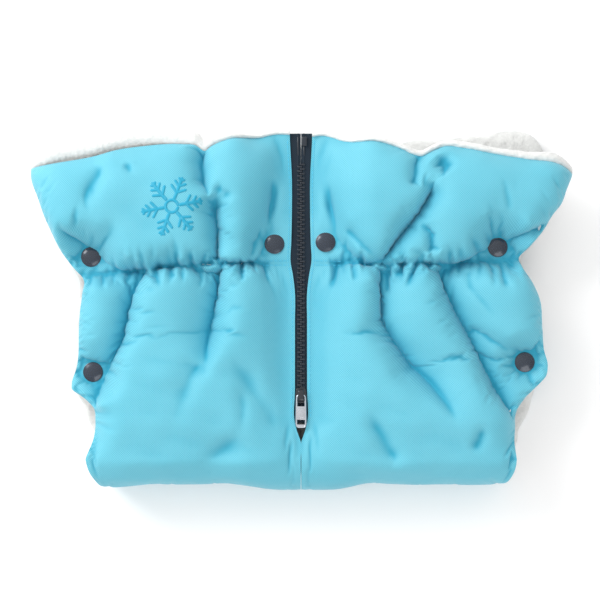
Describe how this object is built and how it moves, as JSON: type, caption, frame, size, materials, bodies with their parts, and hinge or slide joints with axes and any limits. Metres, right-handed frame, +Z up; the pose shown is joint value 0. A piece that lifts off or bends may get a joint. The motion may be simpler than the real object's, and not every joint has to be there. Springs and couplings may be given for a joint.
{
  "type": "pushchair hand warmer muff",
  "caption": "Padded hand muff for a pushchair handlebar, with fleece lining, two gathered collars, a separating zip and press studs.",
  "frame": {"origin": "middle of the bounding box's bottom face, on the surface that the muff's back panel lies on", "axes": "+X across the muff to the side that carries the zip's box, +Y from the fold to the collars, +Z up through the panels"},
  "size_m": [0.409, 0.27, 0.057],
  "materials": {
    "shell_cloth": "water-repellent woven polyester, matt with a slight sheen",
    "fleece": "off-white pile",
    "wadding": "polyester fibre wadding",
    "elastic_band": "woven elastic band",
    "zip_tape": "woven navy tape",
    "zip_plastic": "moulded, satin",
    "slider_paint": "painted zinc casting, satin",
    "tab_metal": "nickel plated, satin",
    "snap_paint": "dark metallic paint, satin",
    "snap_metal": "nickel plated brass"
  },
  "bodies": {
    "back": {"shell_back": "shell_cloth", "lining_back": "fleece", "wadding_back_pocket": "wadding", "wadding_back_collar": "wadding", "elastic_back": "elastic_band", "shell_fold_left": "shell_cloth", "wadding_fold_left": "wadding", "lining_fold_left": "fleece", "snap_stud_left_inner": "snap_metal", "snap_back_left_inner": "snap_paint", "snap_stud_left_outer": "snap_metal", "snap_back_left_outer": "snap_paint", "snap_stud_left_side": "snap_metal", "snap_back_left_side": "snap_paint", "shell_fold_right": "shell_cloth", "wadding_fold_right": "wadding", "lining_fold_right": "fleece", "snap_stud_right_inner": "snap_metal", "snap_back_right_inner": "snap_paint", "snap_stud_right_outer": "snap_metal", "snap_back_right_outer": "snap_paint", "snap_stud_right_side": "snap_metal", "snap_back_right_side": "snap_paint"},
    "front_left": {"shell_front_left": "shell_cloth", "lining_front_left": "fleece", "wadding_pocket_left": "wadding", "wadding_collar_left": "wadding", "elastic_front_left": "elastic_band", "snap_cap_left_inner": "snap_paint", "snap_socket_left_inner": "snap_metal", "snap_cap_left_outer": "snap_paint", "snap_socket_left_outer": "snap_metal", "snap_cap_left_side": "snap_paint", "snap_socket_left_side": "snap_metal", "zip_tape_left": "zip_tape", "zip_teeth_left": "zip_plastic", "zip_end_stop_left": "zip_plastic", "zip_insertion_pin": "zip_plastic"},
    "front_right": {"shell_front_right": "shell_cloth", "lining_front_right": "fleece", "wadding_pocket_right": "wadding", "wadding_collar_right": "wadding", "elastic_front_right": "elastic_band", "snap_cap_right_inner": "snap_paint", "snap_socket_right_inner": "snap_metal", "snap_cap_right_outer": "snap_paint", "snap_socket_right_outer": "snap_metal", "snap_cap_right_side": "snap_paint", "snap_socket_right_side": "snap_metal", "zip_tape_right": "zip_tape", "zip_teeth_right": "zip_plastic", "zip_end_stop_right": "zip_plastic", "zip_fixed_pin": "zip_plastic", "zip_retainer_box": "zip_plastic"},
    "slider": {"zip_slider": "slider_paint"},
    "pull_tab": {"zip_pull_tab": "tab_metal"}
  },
  "joints": [
    {"name": "front_left_fold", "type": "hinge", "parent": "back", "child": "front_left", "pos_m": [0, -0.109, 0.026], "axis": [1, 0, 0], "range_deg": [0, 160], "deforming": ["shell_fold_left", "wadding_fold_left", "lining_fold_left", "zip_tape_left", "zip_teeth_left"]},
    {"name": "front_right_fold", "type": "hinge", "parent": "back", "child": "front_right", "pos_m": [0, -0.109, 0.026], "axis": [1, 0, 0], "range_deg": [0, 160], "deforming": ["shell_fold_right", "wadding_fold_right", "lining_fold_right", "zip_tape_right", "zip_teeth_right"]},
    {"name": "zip_slide", "type": "slide", "parent": "front_right", "child": "slider", "axis": [0, 0.9956, -0.094], "range_m": [0, 0.182]},
    {"name": "pull_tab_swing", "type": "hinge", "parent": "slider", "child": "pull_tab", "pos_m": [0, -0.06379, 0.04996], "axis": [-1, 0, 0], "range_deg": [0, 170]}
  ]
}
